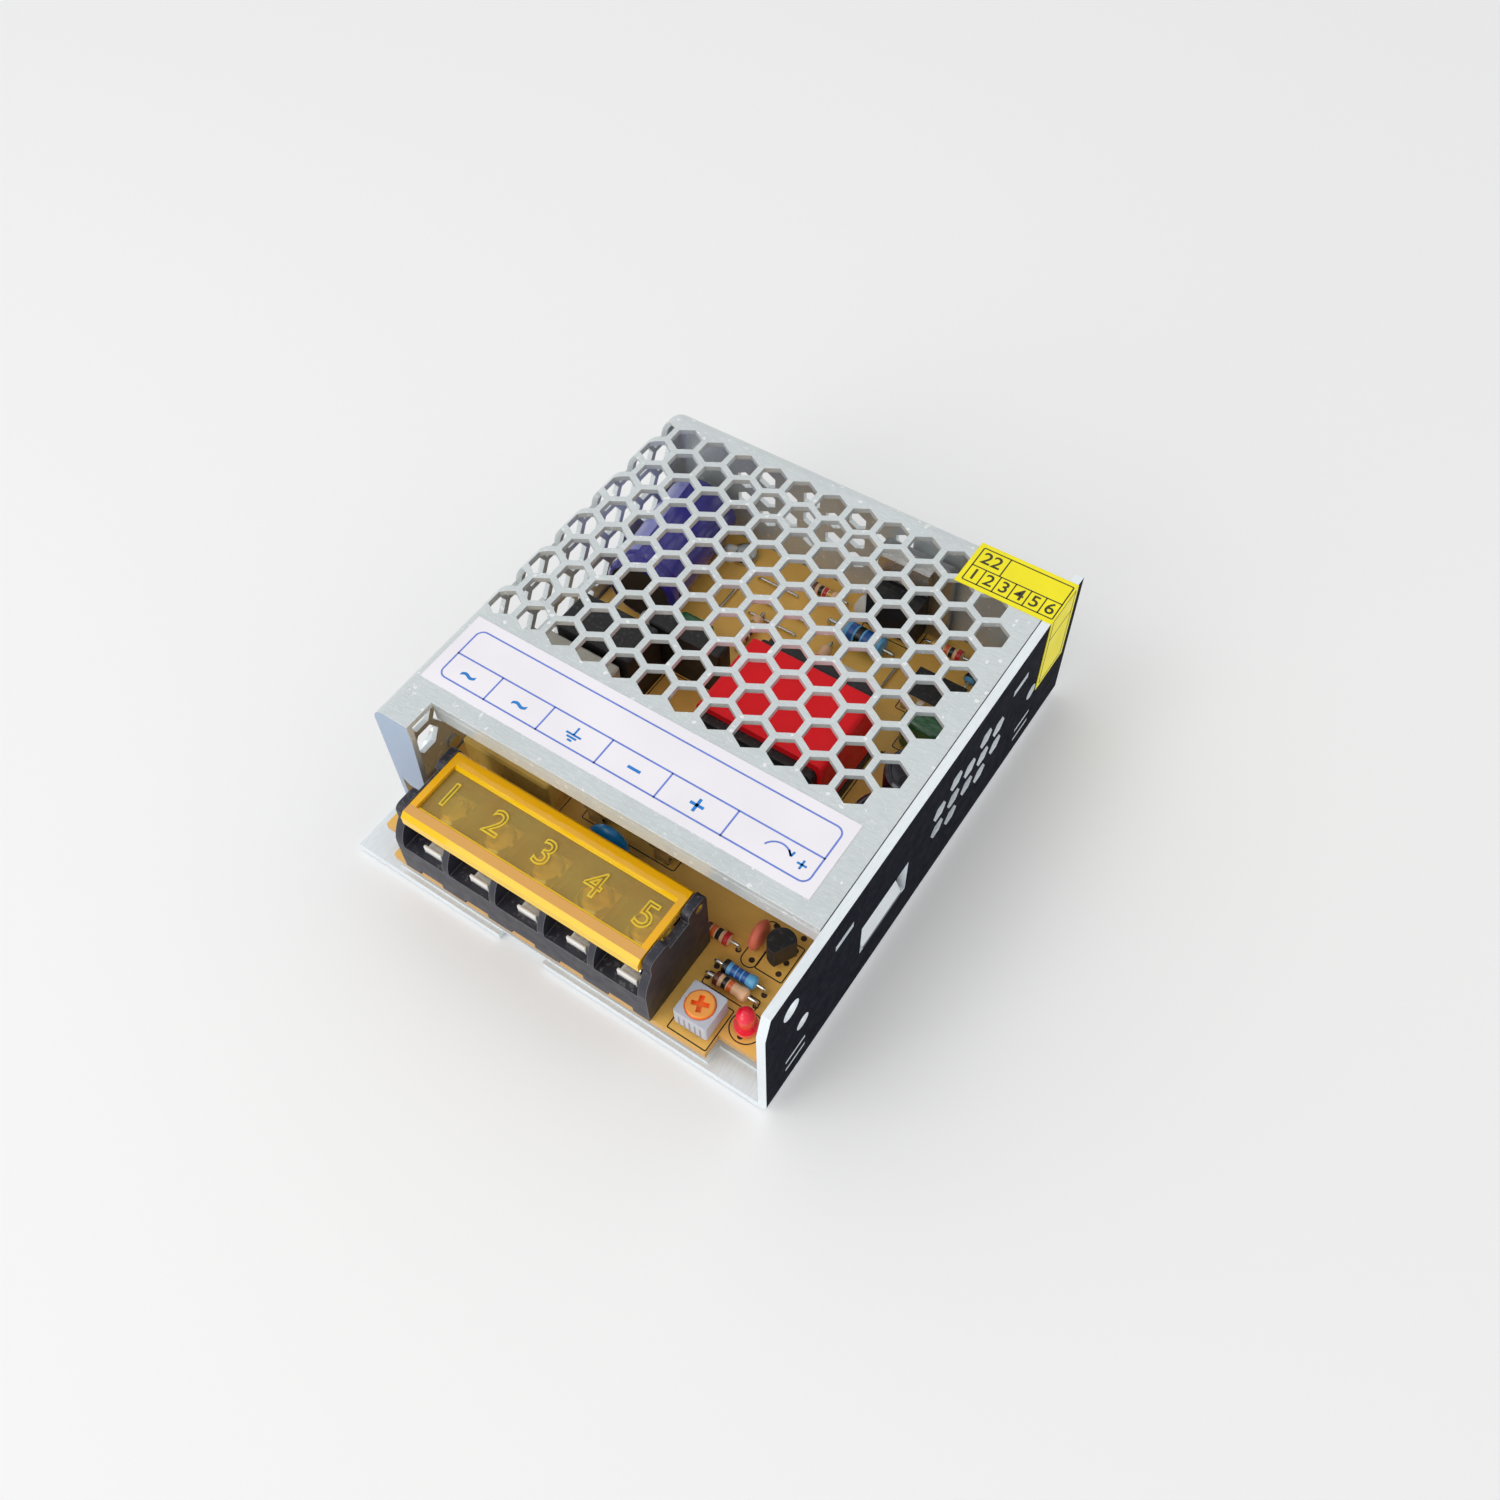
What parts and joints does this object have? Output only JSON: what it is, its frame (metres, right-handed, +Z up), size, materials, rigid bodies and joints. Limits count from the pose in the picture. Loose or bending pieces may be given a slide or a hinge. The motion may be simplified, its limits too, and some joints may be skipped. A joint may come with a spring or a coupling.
{
  "type": "mesh case switching power supply",
  "caption": "Slim enclosed power supply: folded aluminium tray, perforated cover, screw terminal block with clear lid, board with its parts.",
  "frame": {"origin": "centre of the footprint on the bottom face of the floor", "axes": "+X to the right seen from the terminals, +Y from the terminals to the rear, +Z up"},
  "size_m": [0.0821, 0.093, 0.0306],
  "materials": {
    "aluminium_sheet": "satin rolled",
    "galvanised_sheet": "satin galvanised",
    "paper_white": "coated paper",
    "paper_yellow": "brittle paper",
    "clear_film": "clear film",
    "board_tan": "paper laminate",
    "terminal_black": "moulded",
    "tinned_metal": "tin plated",
    "trimmer_case": "moulded",
    "led_red": "diffused",
    "resistor_tan": "enamel",
    "resistor_blue": "enamel",
    "ceramic_salmon": "dipped",
    "disc_blue": "dipped",
    "moulded_black": "moulded",
    "film_yellow": "taped film",
    "film_grey": "moulded",
    "fuse_glass": "clear tube",
    "thermistor_black": "dipped",
    "sleeve_purple": "shrink sleeve",
    "tape_red": "polyester tape",
    "ferrite": "sintered",
    "aluminium_plate": "mill",
    "sleeve_black": "shrink sleeve",
    "choke_green": "enamelled wire",
    "film_green": "dipped",
    "moulded_white": "moulded",
    "screw_steel": "nickel plated",
    "amber_clear": "clear moulded",
    "rotor_orange": "moulded"
  },
  "bodies": {
    "case": {"base_chassis": "aluminium_sheet", "mesh_cover": "galvanised_sheet", "label": "paper_white", "seal_sticker": "paper_yellow", "insulating_sheet": "clear_film", "circuit_board": "board_tan", "terminal_body": "terminal_black", "terminal_contacts": "tinned_metal", "trimmer_body": "trimmer_case", "indicator_led": "led_red", "tan_resistors": "resistor_tan", "blue_resistors": "resistor_blue", "power_resistor": "resistor_blue", "ceramic_capacitor": "ceramic_salmon", "blue_disc_capacitor": "disc_blue", "signal_transistor": "moulded_black", "input_film_capacitor": "film_yellow", "line_film_capacitor": "film_grey", "line_filter": "moulded_black", "fuse": "fuse_glass", "thermistor": "thermistor_black", "bridge_rectifier": "moulded_black", "bulk_capacitor": "sleeve_purple", "transformer_winding": "tape_red", "transformer_bobbin": "moulded_black", "transformer_core": "ferrite", "power_transistor": "moulded_black", "heatsink_plate": "aluminium_plate", "output_rectifier": "moulded_black", "output_capacitors": "sleeve_black", "output_inductor": "choke_green", "green_film_capacitor": "film_green", "small_film_capacitor": "film_green", "controller_chip": "moulded_black", "optocoupler": "moulded_white", "board_screws": "screw_steel", "cover_screws": "screw_steel"},
    "terminal_cover": {"terminal_cover": "amber_clear"},
    "trimmer_rotor": {"trimmer_rotor": "rotor_orange"},
    "clamp_1": {"clamp_plate_1": "tinned_metal"},
    "screw_1": {"terminal_screw_1": "screw_steel"},
    "clamp_2": {"clamp_plate_2": "tinned_metal"},
    "screw_2": {"terminal_screw_2": "screw_steel"},
    "clamp_3": {"clamp_plate_3": "tinned_metal"},
    "screw_3": {"terminal_screw_3": "screw_steel"},
    "clamp_4": {"clamp_plate_4": "tinned_metal"},
    "screw_4": {"terminal_screw_4": "screw_steel"},
    "clamp_5": {"clamp_plate_5": "tinned_metal"},
    "screw_5": {"terminal_screw_5": "screw_steel"}
  },
  "joints": [
    {"name": "terminal_cover_hinge", "type": "hinge", "parent": "case", "child": "terminal_cover", "pos_m": [-0.0045, -0.0323, 0.0195], "axis": [-1, 0, 0], "range_deg": [0, 80]},
    {"name": "trimmer_turn", "type": "hinge", "parent": "case", "child": "trimmer_rotor", "pos_m": [0.0261, -0.0415, 0.0095], "axis": [0, 0, 1], "range_deg": [-130, 130]},
    {"name": "clamp_1_slide", "type": "slide", "parent": "case", "child": "clamp_1", "axis": [0, 0, 1], "range_m": [0, 0.00175]},
    {"name": "screw_1_turn", "type": "hinge", "parent": "clamp_1", "child": "screw_1", "pos_m": [-0.0235, -0.0382, 0.0152], "axis": [0, 0, 1], "range_deg": [0, 1260]},
    {"name": "clamp_2_slide", "type": "slide", "parent": "case", "child": "clamp_2", "axis": [0, 0, 1], "range_m": [0, 0.00175]},
    {"name": "screw_2_turn", "type": "hinge", "parent": "clamp_2", "child": "screw_2", "pos_m": [-0.014, -0.0382, 0.0152], "axis": [0, 0, 1], "range_deg": [0, 1260]},
    {"name": "clamp_3_slide", "type": "slide", "parent": "case", "child": "clamp_3", "axis": [0, 0, 1], "range_m": [0, 0.00175]},
    {"name": "screw_3_turn", "type": "hinge", "parent": "clamp_3", "child": "screw_3", "pos_m": [-0.0045, -0.0382, 0.0152], "axis": [0, 0, 1], "range_deg": [0, 1260]},
    {"name": "clamp_4_slide", "type": "slide", "parent": "case", "child": "clamp_4", "axis": [0, 0, 1], "range_m": [0, 0.00175]},
    {"name": "screw_4_turn", "type": "hinge", "parent": "clamp_4", "child": "screw_4", "pos_m": [0.005, -0.0382, 0.0152], "axis": [0, 0, 1], "range_deg": [0, 1260]},
    {"name": "clamp_5_slide", "type": "slide", "parent": "case", "child": "clamp_5", "axis": [0, 0, 1], "range_m": [0, 0.00175]},
    {"name": "screw_5_turn", "type": "hinge", "parent": "clamp_5", "child": "screw_5", "pos_m": [0.0145, -0.0382, 0.0152], "axis": [0, 0, 1], "range_deg": [0, 1260]}
  ],
  "couplings": [
    {"joint": "screw_1_turn", "follows": "clamp_1_slide", "rad_per_m": 12566},
    {"joint": "screw_2_turn", "follows": "clamp_2_slide", "rad_per_m": 12566},
    {"joint": "screw_3_turn", "follows": "clamp_3_slide", "rad_per_m": 12566},
    {"joint": "screw_4_turn", "follows": "clamp_4_slide", "rad_per_m": 12566},
    {"joint": "screw_5_turn", "follows": "clamp_5_slide", "rad_per_m": 12566}
  ]
}
